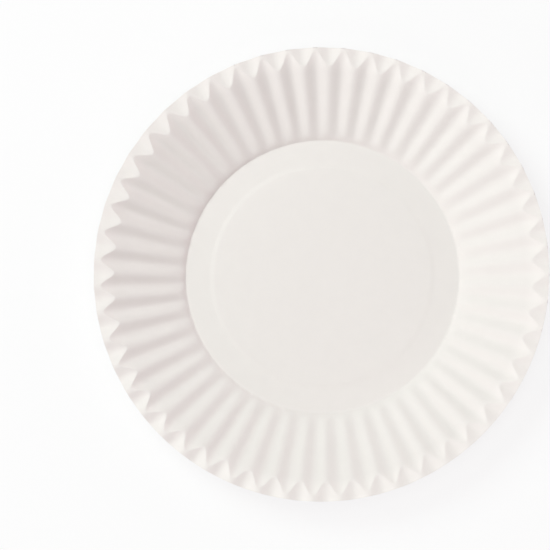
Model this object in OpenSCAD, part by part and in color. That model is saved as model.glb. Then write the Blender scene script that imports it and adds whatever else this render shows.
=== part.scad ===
// A round paper plate, pressed from one disc of plain paper.
// The flat floor has a slightly raised centre, so the plate stands on the ring around it.
// The wall rises from the floor in radial flutes, and past a zigzag crest it becomes the lip.
// The origin is the centre of the underside, with +Z up, and every size is in millimetres.

/* [Plate] */
// Diameter across the rim
plate_d = 228.6; // [200:0.1:330]
// Thickness of the paper
paper_t = 0.25; // [0.15:0.01:0.6]

/* [Floor] */
// Diameter of the floor, at the foot of the wall
floor_d = 138.8; // [110:0.1:170]
// Width of the flat ring that the plate stands on
stand_ring_w = 11; // [5:0.5:25]
// Rise of the floor's centre above that ring
centre_rise = 0.4; // [0.1:0.1:1.5]
// Width of the slope up to the raised centre
centre_slope_w = 3.6; // [1:0.1:8]

/* [Wall] */
// Slope of the wall, in degrees
wall_angle = 24.7; // [20:0.1:45]
// Slope at the very foot of the wall, in degrees
foot_angle = 48; // [20:1:60]
// Width over which the foot eases into the wall
foot_ease_w = 2.2; // [1:0.1:8]
// Width of the bend between the floor and the foot
foot_bend_w = 1; // [0.4:0.1:3]

/* [Flutes] */
// Number of flutes round the plate
flutes = 51; // [24:1:72]
// Height of a flute at the crest, from valley to ridge
flute_h = 1.9; // [0.4:0.1:5]
// Width over which the flutes deepen from nothing
flute_start_w = 4.6; // [1:0.1:20]
// How sharp the folds are, from 0.1 for a plain wave to 0.99 for straight flanks
fold_sharpness = 0.3; // [0.1:0.01:0.99]

/* [Lip] */
// Width of the lip, from the middle of the crest to the rim
lip_w = 6.2; // [5.5:0.1:14]
// Slope of the lip at the crest, in degrees, with a rising lip above 0
lip_angle = -0.6; // [-15:0.1:15]
// Slope of the lip at the rim, where it turns up, in degrees
rim_angle = 8.5; // [-15:0.5:18]
// How far the crest swings in and out, from each ridge to the next valley
crest_swing = 6.7; // [1:0.1:10.8]
// Width of the bend over the crest
crest_bend_w = 2.1; // [0.4:0.1:6]

/* [Hidden] */
paper_white = [0.93, 0.92, 0.90];
plate_r = plate_d / 2;
floor_r = floor_d / 2;
flat_r = floor_r - foot_bend_w / 2;
centre_r = flat_r - stand_ring_w;
crest_r = plate_r - lip_w;
// Each flute has three corners over its valley and three over its ridge, this far apart
corner_step = 45;
corner_turns = [for (middle = [0, 180]) for (side = [-1, 0, 1]) middle + side * corner_step];
corners = len(corner_turns);
fine = corners * flutes;
// The floor is turned, and the pressed wall overlaps it on the flat by this much either way
seam_w = 1;
seam_r = flat_r - seam_w;
smooth = 360;
slope_step = 0.01;

// The soft zigzag that the paper follows round the plate: -1 in a valley, 1 on a ridge
function wave(turn) = -asin(fold_sharpness * cos(turn)) / asin(fold_sharpness);

// Share of a value that grows from nothing over a width
function grown(x, width) = 1 - exp(-max(x, 0) / width);

// Half of the flutes' height at a radius
function fold(r) = flute_h / 2 * r / crest_r * grown(r - floor_r, flute_start_w);

// Height of the wall, which is steepest at its foot
function wall_z(r, w) =
    let (x = r - floor_r)
    x * tan(wall_angle)
    + (tan(foot_angle) - tan(wall_angle)) * foot_ease_w * grown(x, foot_ease_w)
    + w * fold(r);

crest_z = wall_z(crest_r, 0);
lip_wave_h = crest_swing * (tan(wall_angle) - tan(lip_angle)) - flute_h;

// Height of the lip: its waves run against the wall's, so the crest is a zigzag
function lip_z(r, w) =
    let (x = r - crest_r)
    crest_z
    + x * tan(lip_angle)
    + x * x * (tan(rim_angle) - tan(lip_angle)) / (2 * lip_w)
    - w * lip_wave_h / 2;

// Radius of the crest, nearest the centre on a ridge
function crest_at(w) = crest_r - w * crest_swing / 2;

// Height of the underside: the lower of wall and lip, rounded over the crest
function under_z(r, w) =
    r <= floor_r
    ? 0
    : let (
        high = wall_z(r, w),
        low = lip_z(r, w),
        ease = crest_bend_w * (tan(wall_angle) - tan(lip_angle)) / 4
      )
      (high + low - sqrt(pow(high - low, 2) + pow(ease, 2))) / 2;

// Upright thickness, so that the paper is paper_t thick square to its own slope
function upright_t(r, turn) =
    r <= floor_r
    ? paper_t
    : let (
        out = (under_z(r + slope_step, wave(turn)) - under_z(r, wave(turn))) / slope_step,
        along = (under_z(r, wave(turn + 1)) - under_z(r, wave(turn - 1))) / (r * PI / 90 / flutes)
      )
      paper_t * sqrt(1 + out * out + along * along);

// Radii of the rings of corners between the floor and the rim, for one place round a flute.
// The ring along the crest stays on the sheet, where a wide swing carries the crest to the rim.
function ring_radii(w) =
    let (
        foot = floor_r + foot_bend_w / 2,
        crest = min(crest_at(w), plate_r - paper_t),
        top = crest - crest_bend_w / 2
    )
    [
        seam_r - seam_w,
        flat_r,
        foot,
        for (share = [0.08, 0.3]) foot + (top - foot) * share,
        top,
        crest,
        crest + min(crest_bend_w, plate_r - crest) / 2,
        plate_r
    ];
rings = len(ring_radii(0));

// One ring of corners, on the underside (side 0) or the upper side (side 1)
function ring_corners(ring, side) = [
    for (flute = [0 : flutes - 1])
        for (turn = corner_turns)
            let (
                w = wave(turn),
                a = (flute + turn / 360) * 360 / flutes,
                r = ring_radii(w)[ring],
                z = under_z(r, w) + side * upright_t(r, turn)
            )
            [r * cos(a), r * sin(a), z]
];

// Faces between two rings of corners, wound so that they face up when outer lies outside inner
function band(inner, outer) = [
    for (k = [0 : fine - 1])
        let (n = (k + 1) % fine)
        each [
            [inner + k, outer + n, outer + k],
            [inner + k, inner + n, outer + n]
        ]
];

// The turned floor: the raised centre, its slope, and the flat ring around it
module pressed_floor() {
    rotate_extrude($fn = smooth)
        polygon([
            [0, centre_rise],
            [centre_r - centre_slope_w, centre_rise],
            [centre_r, 0],
            [seam_r, 0],
            [seam_r, paper_t],
            [centre_r, paper_t],
            [centre_r - centre_slope_w, centre_rise + paper_t],
            [0, centre_rise + paper_t]
        ]);
}

// The fluted wall and the lip, from the flat ring to the rim
module fluted_wall() {
    upper = rings * fine;
    polyhedron(
        points = [for (side = [0, 1]) for (ring = [0 : rings - 1]) each ring_corners(ring, side)],
        faces = [
            each band(upper, 0),
            for (ring = [0 : rings - 2])
                each [
                    each band((ring + 1) * fine, ring * fine),
                    each band(upper + ring * fine, upper + (ring + 1) * fine)
                ],
            each band((rings - 1) * fine + upper, (rings - 1) * fine)
        ],
        convexity = 12
    );
}

module plate() {
    color(paper_white)
        union() {
            pressed_floor();
            fluted_wall();
        }
}

plate();
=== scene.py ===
"""A round fluted paper plate lying on a pale studio floor, seen nearly from straight above.

The plate is pressed here as the real one is: a radius is drawn, spun into a flat disc, pressed
into its floor, fluted wall and lip, and given the paper's thickness. All lengths are in metres.
"""

import logging
import math
from dataclasses import dataclass, field
from enum import Enum

import bmesh
import bpy
from mathutils import Euler, Matrix, Quaternion, Vector


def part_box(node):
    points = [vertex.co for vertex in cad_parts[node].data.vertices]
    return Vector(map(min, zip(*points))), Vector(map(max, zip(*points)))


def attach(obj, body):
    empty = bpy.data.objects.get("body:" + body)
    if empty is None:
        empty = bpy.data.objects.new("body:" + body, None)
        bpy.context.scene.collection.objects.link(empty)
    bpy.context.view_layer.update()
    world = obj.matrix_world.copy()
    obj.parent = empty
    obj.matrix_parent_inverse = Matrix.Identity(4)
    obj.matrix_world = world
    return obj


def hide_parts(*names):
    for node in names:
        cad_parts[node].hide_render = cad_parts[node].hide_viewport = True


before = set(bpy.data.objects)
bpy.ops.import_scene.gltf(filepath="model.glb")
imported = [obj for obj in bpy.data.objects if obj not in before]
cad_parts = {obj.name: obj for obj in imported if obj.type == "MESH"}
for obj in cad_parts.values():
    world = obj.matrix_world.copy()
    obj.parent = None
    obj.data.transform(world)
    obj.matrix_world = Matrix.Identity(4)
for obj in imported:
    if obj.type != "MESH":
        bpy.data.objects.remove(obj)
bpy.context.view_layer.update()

LOG = logging.getLogger("paper_plate")
MM = 0.001


class NodeKind(Enum):
    """The shader nodes that the finishes are made of."""

    COORDINATES = "ShaderNodeTexCoord"
    MAPPING = "ShaderNodeMapping"
    NOISE = "ShaderNodeTexNoise"
    RANGE = "ShaderNodeMapRange"
    MATH = "ShaderNodeMath"
    VECTOR = "ShaderNodeVectorMath"
    BUMP = "ShaderNodeBump"
    PRINCIPLED = "ShaderNodeBsdfPrincipled"
    DIFFUSE = "ShaderNodeBsdfDiffuse"
    GLOW = "ShaderNodeEmission"
    BLEND = "ShaderNodeMixShader"
    RAYS = "ShaderNodeLightPath"
    OUTPUT = "ShaderNodeOutputMaterial"


@dataclass(frozen=True)
class Ripple:
    """A small change that comes and goes so many times in a turn round the plate.

    It is most towards one angle, which is given in degrees.
    """

    most: float
    times: int
    towards: float

    def at(self, angle: float) -> float:
        """The change at an angle in radians."""
        return self.most * math.cos(self.times * (angle - math.radians(self.towards)))


def summed(ripples: tuple[Ripple, ...], angle: float) -> float:
    """The change that several ripples make together at an angle in radians."""
    return sum(ripple.at(angle) for ripple in ripples)


@dataclass(frozen=True)
class Spot:
    """How the press strikes at one angle round the plate.

    The wave is the place round a flute, -1 in a valley and 1 on a ridge. The shift is how far
    the crest lies outside its middle radius, and the kick is how much the wall steepens up to it.
    The others say how high the raised centre, how steep the foot, how deep the flutes, how wide
    the crest's swing and how broad its bend are, as shares of their usual size.
    """

    wave: float = 0.0
    shift: float = 0.0
    kick: float = 0.0
    rise: float = 1.0
    foot: float = 1.0
    depth: float = 1.0
    swing: float = 1.0
    bend: float = 1.0


@dataclass(frozen=True)
class PressedForm:
    """The surface that the press gives the plate's underside.

    The radii are measured from the plate's axis. The press strikes a little unevenly, so the
    flutes are deeper on one side, stand a little off their even spacing, and end at a crest that
    isn't quite round. The ripples say by how much: those of the spacing in degrees, those of the
    crest in metres, those of the kick as a slope, and the others as a share of the usual size.
    """

    rim_radius: float
    floor_radius: float = 69.4 * MM
    stand_ring_width: float = 11.0 * MM
    stand_ring_slope: float = 0.03
    centre_rise: float = 0.4 * MM
    centre_slope_width: float = 3.6 * MM
    foot_bend_width: float = 1.0 * MM
    foot_bend_power: int = 3
    foot_slope: float = 1.04
    foot_ease: float = 1.9 * MM
    wall_slope: float = 0.46
    flutes: int = 51
    flute_height: float = 1.9 * MM
    flute_start: float = 4.6 * MM
    fold_sharpness: float = 0.3
    lip_width: float = 6.16 * MM
    lip_slope: float = -0.01
    rim_slope: float = 0.15
    crest_swing: float = 6.74 * MM
    crest_bend_width: float = 2.1 * MM
    kick_width: float = 5.0 * MM
    spacing_ripples: tuple[Ripple, ...] = (
        Ripple(0.06, 0, 0),
        Ripple(0.2, 1, 329),
        Ripple(0.1, 2, 149),
        Ripple(0.1, 13, 177),
    )
    rise_ripples: tuple[Ripple, ...] = (Ripple(0.35, 1, 160),)
    foot_ripples: tuple[Ripple, ...] = (
        Ripple(0.22, 1, 150),
        Ripple(0.12, 2, 140),
        Ripple(0.05, 3, 145),
    )
    depth_ripples: tuple[Ripple, ...] = (
        Ripple(0.26, 1, 172),
        Ripple(0.09, 2, 158),
        Ripple(0.05, 3, 34),
        Ripple(0.03, 23, 4),
    )
    crest_ripples: tuple[Ripple, ...] = (
        Ripple(0.67 * MM, 1, 31),
        Ripple(0.2 * MM, 2, 30),
        Ripple(0.23 * MM, 3, 115),
    )
    kick_ripples: tuple[Ripple, ...] = (Ripple(0.04, 0, 0), Ripple(0.1, 1, 207), Ripple(0.06, 2, 176))
    swing_ripples: tuple[Ripple, ...] = (Ripple(0.055, 1, 119), Ripple(0.076, 2, 93))
    bend_ripples: tuple[Ripple, ...] = (Ripple(-0.4, 1, 165),)

    @property
    def crest_radius(self) -> float:
        """Middle radius of the crest, where the wall turns into the lip."""
        return self.rim_radius - self.lip_width

    @property
    def centre_radius(self) -> float:
        """Radius at which the slope up to the raised centre starts."""
        return self.floor_radius - self.foot_bend_width / 2 - self.stand_ring_width

    @property
    def rim_height(self) -> float:
        """Middle height of the rim."""
        return self.lip_height(self.rim_radius, Spot())

    def spot(self, angle: float) -> Spot:
        """Finds how the press strikes at one angle.

        Args:
            angle: Angle round the plate, in radians.

        Returns:
            The wave there, and what the unevenness does to the flutes and the crest.
        """
        spacing = math.radians(summed(self.spacing_ripples, angle))
        turn = self.flutes * (angle - spacing)
        zigzag = -math.asin(self.fold_sharpness * math.cos(turn)) / math.asin(self.fold_sharpness)
        return Spot(
            zigzag,
            shift=summed(self.crest_ripples, angle),
            kick=summed(self.kick_ripples, angle),
            rise=1 + summed(self.rise_ripples, angle),
            foot=1 + summed(self.foot_ripples, angle),
            depth=1 + summed(self.depth_ripples, angle),
            swing=1 + summed(self.swing_ripples, angle),
            bend=1 + summed(self.bend_ripples, angle),
        )

    def crest_at(self, spot: Spot) -> float:
        """Radius of the crest at one place round a flute."""
        return self.crest_radius + spot.shift - spot.wave * spot.swing * self.crest_swing / 2

    def fold(self, radius: float) -> float:
        """Half of the flutes' height at a radius."""
        start = 1 - math.exp(-max(radius - self.floor_radius, 0) / self.flute_start)
        return self.flute_height / 2 * radius / self.crest_radius * start

    def floor_height(self, radius: float, spot: Spot) -> float:
        """Gives the height of the floor, which rises to its raised and slightly leaning centre.

        Args:
            radius: Distance from the plate's axis.
            spot: How the press strikes there.

        Returns:
            The height above the surface that the plate stands on.
        """
        along = min(max((self.centre_radius - radius) / self.centre_slope_width, 0), 1)
        inwards = min(self.floor_radius - self.foot_bend(spot) - radius, self.stand_ring_width)
        rise = self.centre_rise * (1 + (spot.rise - 1) * radius / self.centre_radius)
        return inwards * self.stand_ring_slope + rise * along * along * (3 - 2 * along)

    def foot_bend(self, spot: Spot) -> float:
        """Half of the width of the foot's bend, which is softer where the foot is gentler."""
        return self.foot_bend_width / 2 / spot.foot**self.foot_bend_power

    def wall_level(self, radius: float, spot: Spot) -> float:
        """Gives the middle height of the wall.

        The wall starts in a round bend, is steepest at its foot and steepens again by the kick.

        Args:
            radius: Distance from the plate's axis.
            spot: How the press strikes there.

        Returns:
            The height that the flutes swing around.
        """
        bend = self.foot_bend(spot)
        out = radius - self.floor_radius - bend
        foot_slope = self.foot_slope * spot.foot
        if out < 0:
            return foot_slope * (out + 2 * bend) ** 2 / (4 * bend)
        ease = self.foot_ease / spot.foot
        foot = foot_slope * bend + (foot_slope - self.wall_slope) * ease * (1 - math.exp(-out / ease))
        into = max(radius - self.crest_radius - spot.shift + self.kick_width, 0)
        eased = min(into, self.kick_width)
        kick = spot.kick * eased * (into - eased / 2) / self.kick_width
        return out * self.wall_slope + foot + kick

    def lip_height(self, radius: float, spot: Spot) -> float:
        """Gives the height of the lip, which turns up to the rim.

        Its waves run against the wall's, and are as high as the swing of the crest needs.

        Args:
            radius: Distance from the plate's axis.
            spot: How the press strikes there.

        Returns:
            The height that the lip's own surface has there.
        """
        crest = self.crest_radius + spot.shift
        out = radius - crest
        upturn = (self.rim_slope - self.lip_slope) * out * out / (2 * self.lip_width)
        level = self.wall_level(crest, spot) + out * self.lip_slope + upturn
        both_waves = self.crest_swing * spot.swing * (self.wall_slope + spot.kick - self.lip_slope)
        return level - spot.wave * (both_waves - self.flute_height * spot.depth) / 2

    def height(self, radius: float, spot: Spot) -> float:
        """Gives the height of the underside: the lower of wall and lip, rounded over the crest.

        Args:
            radius: Distance from the plate's axis.
            spot: How the press strikes there.

        Returns:
            The height above the surface that the plate stands on.
        """
        if radius <= self.floor_radius - self.foot_bend(spot):
            return self.floor_height(radius, spot)
        wall = self.wall_level(radius, spot)
        if radius > self.floor_radius:
            wall += spot.wave * spot.depth * self.fold(radius)
        lip = self.lip_height(radius, spot)
        ease = self.crest_bend_width * spot.bend * (self.wall_slope - self.lip_slope) / 4
        return max((wall + lip - math.hypot(wall - lip, ease)) / 2, 0)


@dataclass
class PaperPlate:
    """The plate: one disc of paper, pressed to its form."""

    form: PressedForm
    paper: float = 0.25 * MM
    steps_per_flute: int = 16
    weld_distance: float = 0.0025 * MM
    edge_round: float = 0.06 * MM
    cut_angle: float = math.radians(55)
    name: str = "pressed_plate"
    mesh: bmesh.types.BMesh = field(default_factory=bmesh.new)

    def radii(self) -> list[float]:
        """Lists the radii of the disc's rings, closest together at the bends.

        Returns:
            The radii, from the axis to the rim.
        """
        form = self.form
        stretches = [
            (form.centre_radius - form.centre_slope_width, 2),
            (form.centre_radius, 6),
            (form.floor_radius - form.foot_bend_width, 2),
            (form.floor_radius + form.foot_bend_width, 8),
            (form.floor_radius + form.flute_start, 5),
            (form.crest_radius - form.crest_swing, 9),
            (form.crest_radius - form.crest_bend_width, 6),
            (form.crest_radius + form.crest_bend_width, 10),
            (form.rim_radius - 2 * self.edge_round, 5),
            (form.rim_radius, 1),
        ]
        radii = [0.0]
        for end, steps in stretches:
            start = radii[-1]
            radii += [start + (end - start) * step / steps for step in range(1, steps + 1)]
        return radii

    def draw_radius(self) -> None:
        """Draws one radius of the flat disc along +X, from its centre outwards."""
        point = bmesh.ops.create_vert(self.mesh, co=(0, 0, 0))["vert"][0]
        for radius in self.radii()[1:]:
            point = bmesh.ops.extrude_vert_indiv(self.mesh, verts=[point])["verts"][0]
            point.co.x = radius

    def spin_disc(self) -> None:
        """Spins the radius a full turn into the flat disc."""
        bmesh.ops.spin(
            self.mesh,
            geom=list(self.mesh.verts) + list(self.mesh.edges),
            cent=(0, 0, 0),
            axis=(0, 0, 1),
            angle=math.tau,
            steps=self.form.flutes * self.steps_per_flute,
            use_merge=True,
        )
        bmesh.ops.remove_doubles(self.mesh, verts=self.mesh.verts, dist=self.weld_distance)
        bmesh.ops.recalc_face_normals(self.mesh, faces=self.mesh.faces)
        if sum(face.normal.z for face in self.mesh.faces) < 0:
            bmesh.ops.reverse_faces(self.mesh, faces=self.mesh.faces)

    def swung(self, radius: float, spot: Spot) -> float:
        """Moves a ring of the disc in and out, so that one ring lies along the zigzag crest.

        Args:
            radius: Radius on the flat disc.
            spot: How the press strikes there.

        Returns:
            The radius that the point is pressed at.
        """
        form = self.form
        reach = form.lip_width if radius > form.crest_radius else 2 * form.crest_swing
        share = max(1 - abs(radius - form.crest_radius) / reach, 0)
        return radius + (form.crest_at(spot) - form.crest_radius) * share

    def press(self) -> None:
        """Presses the flat disc to the plate's form."""
        for point in self.mesh.verts:
            flat = point.co.to_2d()
            if flat.length < self.paper:
                point.co.z = self.form.height(0, Spot())
                continue
            spot = self.form.spot(math.atan2(flat.y, flat.x))
            radius = self.swung(flat.length, spot)
            flat *= radius / flat.length
            point.co = Vector((flat.x, flat.y, self.form.height(radius, spot)))

    def thicken(self) -> None:
        """Gives the pressed sheet the paper's thickness, upwards, and softens its cut edge."""
        bmesh.ops.solidify(self.mesh, geom=list(self.mesh.faces), thickness=-self.paper)
        bmesh.ops.recalc_face_normals(self.mesh, faces=self.mesh.faces)
        cut = [edge for edge in self.mesh.edges if edge.calc_face_angle() > self.cut_angle]
        bmesh.ops.bevel(
            self.mesh,
            geom=cut,
            offset=self.edge_round,
            offset_type="OFFSET",
            segments=2,
            profile=0.5,
            affect="EDGES",
            material=-1,
        )

    def build(self) -> bpy.types.Object:
        """Models the plate.

        Returns:
            The finished object, at the origin.
        """
        self.draw_radius()
        self.spin_disc()
        self.press()
        self.thicken()
        for face in self.mesh.faces:
            face.smooth = True
        data = bpy.data.meshes.new(self.name)
        self.mesh.to_mesh(data)
        self.mesh.free()
        plate = bpy.data.objects.new(self.name, data)
        bpy.context.scene.collection.objects.link(plate)
        return plate


class Shading:
    """One material's node tree, with short calls to add nodes and join them."""

    def __init__(self, name: str) -> None:
        """Starts an empty material.

        Args:
            name: The material's name.
        """
        self.material = bpy.data.materials.new(name)
        self.material.use_nodes = True
        self.tree = self.material.node_tree
        self.tree.nodes.clear()

    def add(self, kind: NodeKind, **settings: object) -> bpy.types.Node:
        """Adds a node.

        Args:
            kind: What kind of node it is.
            settings: Values for the node's own settings.

        Returns:
            The new node.
        """
        node = self.tree.nodes.new(kind.value)
        for name, value in settings.items():
            setattr(node, name, value)
        return node

    def feed(self, socket: bpy.types.NodeSocket, value: object) -> None:
        """Joins another node's socket to a socket, or sets a plain value on it.

        Args:
            socket: The socket that takes the value.
            value: The other node's socket, or the plain value.
        """
        if isinstance(value, bpy.types.NodeSocket):
            self.tree.links.new(value, socket)
        else:
            socket.default_value = value

    def calculate(self, operation: str, *values: object) -> bpy.types.NodeSocket:
        """Adds a calculation.

        Args:
            operation: What a Math node does.
            values: Sockets or numbers that it takes, in order.

        Returns:
            The result's socket.
        """
        node = self.add(NodeKind.MATH, operation=operation)
        for socket, value in zip(node.inputs, values):
            self.feed(socket, value)
        return node.outputs[0]

    def finish(self, shader: bpy.types.NodeSocket) -> bpy.types.Material:
        """Joins the shader to the material's output.

        Args:
            shader: The shader's socket.

        Returns:
            The finished material.
        """
        output = self.add(NodeKind.OUTPUT)
        self.feed(output.inputs["Surface"], shader)
        return self.material


@dataclass(frozen=True)
class PaperFinish:
    """Uncoated white paper: cloudy pulp, crossed fibres and a fine tooth.

    The lip is painted lighter than the rest of the paper: painted light, not the paper's own colour.
    """

    colour: tuple[float, float, float] = (0.862, 0.828, 0.795)
    roughness: float = 0.86
    roughness_spread: float = 0.08
    cloud_size: float = 7 * MM
    cloud_detail: float = 3.0
    cloud_raggedness: float = 0.6
    cloud_contrast: float = 0.03
    fibre_length: float = 2.2 * MM
    fibre_width: float = 0.16 * MM
    fibre_turns: tuple[float, ...] = (12, 67, 128)
    fibre_detail: float = 1.0
    fibre_waver: float = 0.4
    fibre_sharpness: float = 9.0
    fibre_contrast: float = 0.016
    tooth_size: float = 0.4 * MM
    tooth_detail: float = 2.0
    tooth_height: float = 0.012 * MM
    # Painted light: the lip's colour is lightened by this much, over the radii below.
    painted_lip_light: float = 0.05
    painted_light_start: float = 101.5 * MM
    painted_light_end: float = 109.5 * MM

    def clouds(self, shading: Shading, place: bpy.types.NodeSocket) -> bpy.types.NodeSocket:
        """Adds the pulp's soft clouds.

        Args:
            shading: The material's nodes.
            place: Place on the object.

        Returns:
            A value around 0.5.
        """
        noise = shading.add(NodeKind.NOISE)
        shading.feed(noise.inputs["Vector"], place)
        noise.inputs["Scale"].default_value = 1 / self.cloud_size
        noise.inputs["Detail"].default_value = self.cloud_detail
        noise.inputs["Roughness"].default_value = self.cloud_raggedness
        return noise.outputs["Fac"]

    def fibres(self, shading: Shading, place: bpy.types.NodeSocket) -> bpy.types.NodeSocket:
        """Adds thin fibres that lie across each other.

        Args:
            shading: The material's nodes.
            place: Place on the object.

        Returns:
            A value that is 1 along a fibre and falls to 0 beside it.
        """
        most = 0.0
        for turn in self.fibre_turns:
            lie = shading.add(NodeKind.MAPPING, vector_type="TEXTURE")
            shading.feed(lie.inputs["Vector"], place)
            lie.inputs["Rotation"].default_value = (0, 0, math.radians(turn))
            lie.inputs["Scale"].default_value = (self.fibre_length, self.fibre_width, self.fibre_length)
            noise = shading.add(NodeKind.NOISE)
            shading.feed(noise.inputs["Vector"], lie.outputs["Vector"])
            noise.inputs["Scale"].default_value = 1
            noise.inputs["Detail"].default_value = self.fibre_detail
            noise.inputs["Distortion"].default_value = self.fibre_waver
            apart = shading.calculate("SUBTRACT", noise.outputs["Fac"], 0.5)
            apart = shading.calculate("ABSOLUTE", apart)
            beside = shading.calculate("MULTIPLY", apart, self.fibre_sharpness)
            fibre = shading.calculate("MAXIMUM", shading.calculate("SUBTRACT", 1.0, beside), 0.0)
            most = shading.calculate("MAXIMUM", fibre, most)
        return most

    def tooth(self, shading: Shading, place: bpy.types.NodeSocket) -> bpy.types.NodeSocket:
        """Adds the fine tooth that uncoated paper has.

        Args:
            shading: The material's nodes.
            place: Place on the object.

        Returns:
            A value around 0.5.
        """
        noise = shading.add(NodeKind.NOISE)
        shading.feed(noise.inputs["Vector"], place)
        noise.inputs["Scale"].default_value = 1 / self.tooth_size
        noise.inputs["Detail"].default_value = self.tooth_detail
        return noise.outputs["Fac"]

    def painted_lip_light_share(self, shading: Shading, place: bpy.types.NodeSocket) -> bpy.types.NodeSocket:
        """Finds the lip, where light is painted into the paper's colour.

        Args:
            shading: The material's nodes.
            place: Place on the object.

        Returns:
            A value that grows from 0 on the wall to 1 on the lip.
        """
        level = shading.add(NodeKind.VECTOR, operation="MULTIPLY")
        shading.feed(level.inputs[0], place)
        level.inputs[1].default_value = (1, 1, 0)
        radius = shading.add(NodeKind.VECTOR, operation="LENGTH")
        shading.feed(radius.inputs[0], level.outputs["Vector"])
        share = shading.add(NodeKind.RANGE, interpolation_type="SMOOTHSTEP")
        shading.feed(share.inputs["Value"], radius.outputs["Value"])
        share.inputs["From Min"].default_value = self.painted_light_start
        share.inputs["From Max"].default_value = self.painted_light_end
        return share.outputs["Result"]

    def material(self) -> bpy.types.Material:
        """Makes the material.

        Returns:
            The paper's material.
        """
        shading = Shading("uncoated_paper")
        place = shading.add(NodeKind.COORDINATES).outputs["Object"]
        clouds = self.clouds(shading, place)
        fibres = self.fibres(shading, place)
        cloud_tone = shading.calculate(
            "MULTIPLY_ADD", clouds, self.cloud_contrast, 1 - self.cloud_contrast / 2
        )
        fibre_tone = shading.calculate("MULTIPLY_ADD", fibres, -self.fibre_contrast, cloud_tone)
        # The lip's painted light is added to the paper's tone here.
        tone = shading.calculate(
            "MULTIPLY_ADD", self.painted_lip_light_share(shading, place), self.painted_lip_light, fibre_tone
        )
        colour = shading.add(NodeKind.VECTOR, operation="SCALE")
        colour.inputs[0].default_value = self.colour
        shading.feed(colour.inputs["Scale"], tone)

        relief = shading.calculate("ADD", fibres, self.tooth(shading, place))
        bump = shading.add(NodeKind.BUMP)
        bump.inputs["Distance"].default_value = self.tooth_height
        shading.feed(bump.inputs["Height"], relief)

        paper = shading.add(NodeKind.PRINCIPLED)
        shading.feed(paper.inputs["Base Color"], colour.outputs["Vector"])
        rough = shading.calculate("MULTIPLY_ADD", clouds, self.roughness_spread, self.roughness)
        shading.feed(paper.inputs["Roughness"], rough)
        shading.feed(paper.inputs["Normal"], bump.outputs["Normal"])
        return shading.finish(paper.outputs["BSDF"])


@dataclass(frozen=True)
class StudioFloor:
    """The pale floor under the plate, which keeps the plate's soft shadow."""

    half_width: float = 30.0
    colour: tuple[float, float, float] = (0.9, 0.9, 0.9)
    white_share: float = 0.8

    def build(self) -> bpy.types.Object:
        """Lays the floor.

        Returns:
            The floor.
        """
        mesh = bmesh.new()
        bmesh.ops.create_grid(mesh, x_segments=1, y_segments=1, size=self.half_width)
        data = bpy.data.meshes.new("studio_floor")
        mesh.to_mesh(data)
        mesh.free()
        floor = bpy.data.objects.new("studio_floor", data)
        bpy.context.scene.collection.objects.link(floor)
        floor.data.materials.append(self.material())
        return floor

    def material(self) -> bpy.types.Material:
        """Makes the floor's material, which the camera sees as nearly white.

        Returns:
            The floor's material.
        """
        shading = Shading("pale_floor")
        lit = shading.add(NodeKind.DIFFUSE)
        lit.inputs["Color"].default_value = (*self.colour, 1)
        white = shading.add(NodeKind.GLOW)
        rays = shading.add(NodeKind.RAYS).outputs
        seen = shading.calculate("MAXIMUM", rays["Is Camera Ray"], rays["Is Glossy Ray"])
        seen = shading.calculate("MAXIMUM", seen, rays["Is Transmission Ray"])
        blend = shading.add(NodeKind.BLEND)
        shading.feed(blend.inputs["Fac"], shading.calculate("MULTIPLY", seen, self.white_share))
        shading.feed(blend.inputs[1], lit.outputs[0])
        shading.feed(blend.inputs[2], white.outputs[0])
        return shading.finish(blend.outputs[0])


@dataclass(frozen=True)
class Softbox:
    """One soft square lamp, placed by its direction from the plate, in degrees."""

    name: str
    towards: float
    height: float
    power: float
    colour: tuple[float, float, float] = (1, 1, 1)
    distance: float = 2.0
    width: float = 1.0

    def build(self) -> bpy.types.Object:
        """Hangs the lamp, facing the plate.

        Returns:
            The lamp.
        """
        data = bpy.data.lights.new(self.name, "AREA")
        data.size = self.width
        data.energy = self.power
        data.color = self.colour
        lamp = bpy.data.objects.new(self.name, data)
        towards = Vector((1, 0, 0))
        towards.rotate(Euler((0, -math.radians(self.height), math.radians(self.towards))))
        lamp.location = towards * self.distance
        lamp.rotation_euler = towards.to_track_quat("Z", "Y").to_euler()
        bpy.context.scene.collection.objects.link(lamp)
        return lamp


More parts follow.
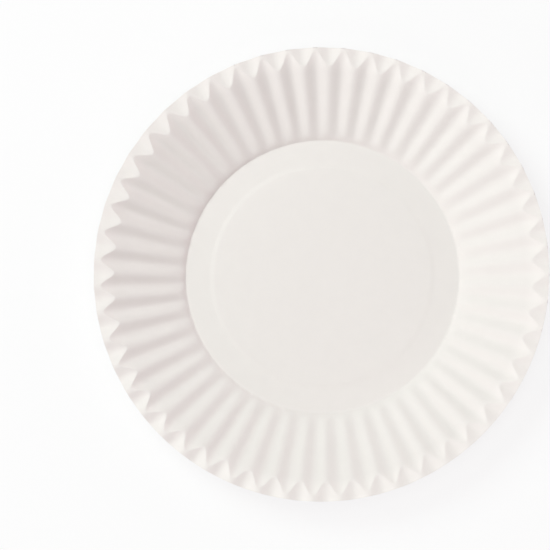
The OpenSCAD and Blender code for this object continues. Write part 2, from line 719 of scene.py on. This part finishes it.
@dataclass(frozen=True)
class PhotoCamera:
    """The camera at the photograph's viewing angle, nearly straight above the plate."""

    tilt: float = 5.5
    towards: float = -57.0
    distance: float = 2.0
    turn: float = 0.48
    aim_offset: tuple[float, float] = (-23.02 * MM, -0.76 * MM)
    view_width: float = 275.9 * MM

    def build(self, rim_height: float) -> bpy.types.Object:
        """Sets up the camera and makes it the scene's.

        Args:
            rim_height: Height of the plate's rim, where the photograph's scale is measured.

        Returns:
            The camera.
        """
        tilt = math.radians(self.tilt)
        turn = math.radians(self.towards)
        back = Vector(
            (math.sin(tilt) * math.cos(turn), math.sin(tilt) * math.sin(turn), math.cos(tilt))
        )
        up = (Vector((0, 1, 0)) - back * back.y).normalized()
        up.rotate(Quaternion(back, math.radians(self.turn)))
        right = up.cross(back)
        data = bpy.data.cameras.new("camera")
        data.lens = data.sensor_width * self.distance / self.view_width
        camera = bpy.data.objects.new("camera", data)
        aim = Vector((0, 0, rim_height)) + right * self.aim_offset[0] + up * self.aim_offset[1]
        place = Matrix((right, up, back)).transposed().to_4x4()
        place.translation = aim + back * self.distance
        camera.matrix_world = place
        bpy.context.scene.collection.objects.link(camera)
        bpy.context.scene.camera = camera
        return camera


@dataclass(frozen=True)
class Studio:
    """The plate's surroundings: a pale floor, soft light from all sides, and the camera."""

    air: tuple[float, float, float] = (0.214, 0.168, 0.184)
    softboxes: tuple[Softbox, ...] = (
        Softbox("key_light", 140, 45, 21.6, (0.875, 1, 0.952)),
        Softbox("top_light", 0, 90, 12.2, (0.943, 1, 0.982)),
        Softbox("left_fill", 210, 10, 11.9, (1, 0.86, 0.933)),
        Softbox("right_fill", 25, 14, 7.5, (1, 0.771, 0.862)),
        Softbox("near_fill", 270, 45, 5.9, (1, 0.964, 0.953)),
    )

    def build(self, rim_height: float) -> None:
        """Sets up the studio.

        Args:
            rim_height: Height of the plate's rim, where the camera aims.
        """
        StudioFloor().build()
        for softbox in self.softboxes:
            softbox.build()
        world = bpy.data.worlds.new("studio_air")
        world.use_nodes = True
        background = world.node_tree.nodes["Background"]
        background.inputs["Color"].default_value = (*self.air, 1)
        bpy.context.scene.world = world
        bpy.context.scene.view_settings.view_transform = "Standard"
        PhotoCamera().build(rim_height)


def main() -> None:
    """Builds the plate and its studio, and reports the plate's face count."""
    logging.basicConfig(level=logging.INFO, format="%(message)s")
    low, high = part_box("plate")
    form = PressedForm(rim_radius=(high[0] - low[0]) / 2)
    plate = PaperPlate(form).build()
    plate.data.materials.append(PaperFinish().material())
    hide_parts("plate")
    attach(plate, "root")
    LOG.info("%s: %d faces", plate.name, len(plate.data.polygons))
    Studio().build(form.rim_height)


if __name__ == "__main__":
    main()
